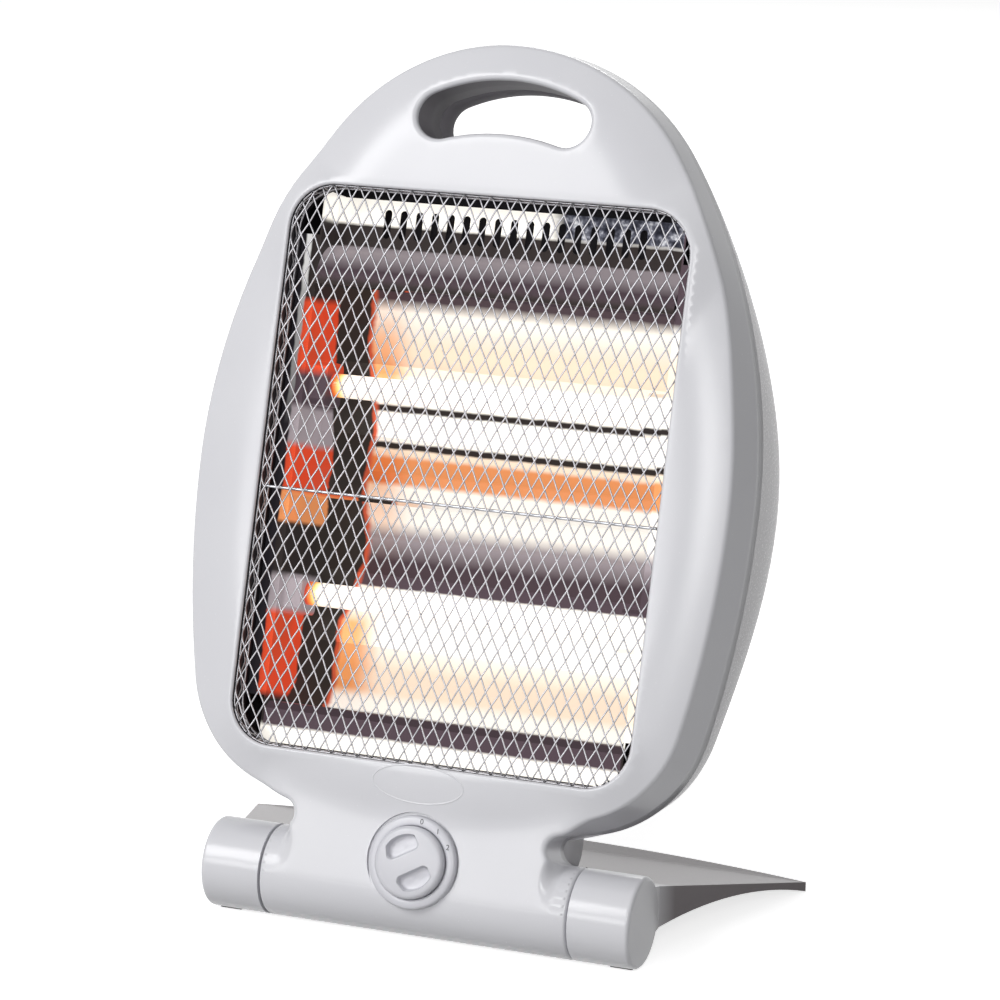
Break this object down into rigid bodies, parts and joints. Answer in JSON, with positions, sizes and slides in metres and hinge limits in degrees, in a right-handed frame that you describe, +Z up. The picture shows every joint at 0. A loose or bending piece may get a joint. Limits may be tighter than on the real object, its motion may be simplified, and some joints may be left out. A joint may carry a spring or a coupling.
{
  "type": "halogen heater",
  "caption": "Egg-shaped halogen heater leaning back on a barrel and a broad arched foot: glowing quartz bars in polished troughs behind a wire mesh, turn knob on the neck, handle hole on top.",
  "frame": {"origin": "on the floor, under the middle of the part's box without any cord", "axes": "+Z up, -Y towards the side the grille faces, +X to the right as seen from the front"},
  "size_m": [0.272, 0.1622, 0.3748],
  "materials": {
    "shell_plastic": "moulded, glossy light grey",
    "knob_plastic": "moulded, satin light grey",
    "chromed_wire": "chromed mesh",
    "polished_aluminium": "mirror polished sheet",
    "zinc_steel": "zinc plated",
    "quartz": "clear quartz, lit from within",
    "tungsten": "glowing wound wire",
    "ceramic": "unglazed steatite ceramic",
    "black_plastic": "moulded black",
    "block_plastic": "moulded off-white",
    "bush_plastic": "moulded natural acetal",
    "brass_weight": "turned",
    "soft_rubber": "moulded black"
  },
  "bodies": {
    "heater": {"front_housing": "shell_plastic", "rear_housing": "shell_plastic", "grille": "chromed_wire", "grille_stay_wire": "chromed_wire", "dial_ring": "knob_plastic", "rotary_switch": "black_plastic", "switch_screws": "zinc_steel", "upper_tube": "quartz", "lower_tube": "quartz", "upper_filament": "tungsten", "lower_filament": "tungsten", "tube_end_caps": "zinc_steel", "ceramic_holders": "ceramic", "end_plate_left": "zinc_steel", "end_plate_right": "zinc_steel", "upper_reflector": "polished_aluminium", "lower_reflector": "polished_aluminium", "top_shield": "polished_aluminium", "bottom_shield": "polished_aluminium", "heat_shield": "zinc_steel", "thermal_cutout": "black_plastic", "terminal_block": "block_plastic", "cord_grommet": "soft_rubber", "tip_switch": "black_plastic", "housing_screws": "zinc_steel", "pivot_bushes": "bush_plastic"},
    "control_knob": {"knob": "knob_plastic", "switch_shaft": "zinc_steel"},
    "foot": {"stand": "shell_plastic", "pivot_pins": "zinc_steel", "friction_washers": "zinc_steel", "drum_pads": "soft_rubber"},
    "tip_pendulum": {"tip_weight": "brass_weight"}
  },
  "joints": [
    {"name": "knob_turn", "type": "hinge", "parent": "heater", "child": "control_knob", "pos_m": [0, -0.06941, 0.03822], "axis": [0, -0.9537, 0.3007], "range_deg": [0, 60]},
    {"name": "stand_fold", "type": "hinge", "parent": "heater", "child": "foot", "pos_m": [0, -0.05419, 0.02], "axis": [1, 0, 0], "range_deg": [-10, 14]},
    {"name": "tip_swing", "type": "hinge", "parent": "heater", "child": "tip_pendulum", "pos_m": [-0.012, 0.03304, 0.17704], "axis": [1, 0, 0], "range_deg": [-20, 20]}
  ]
}
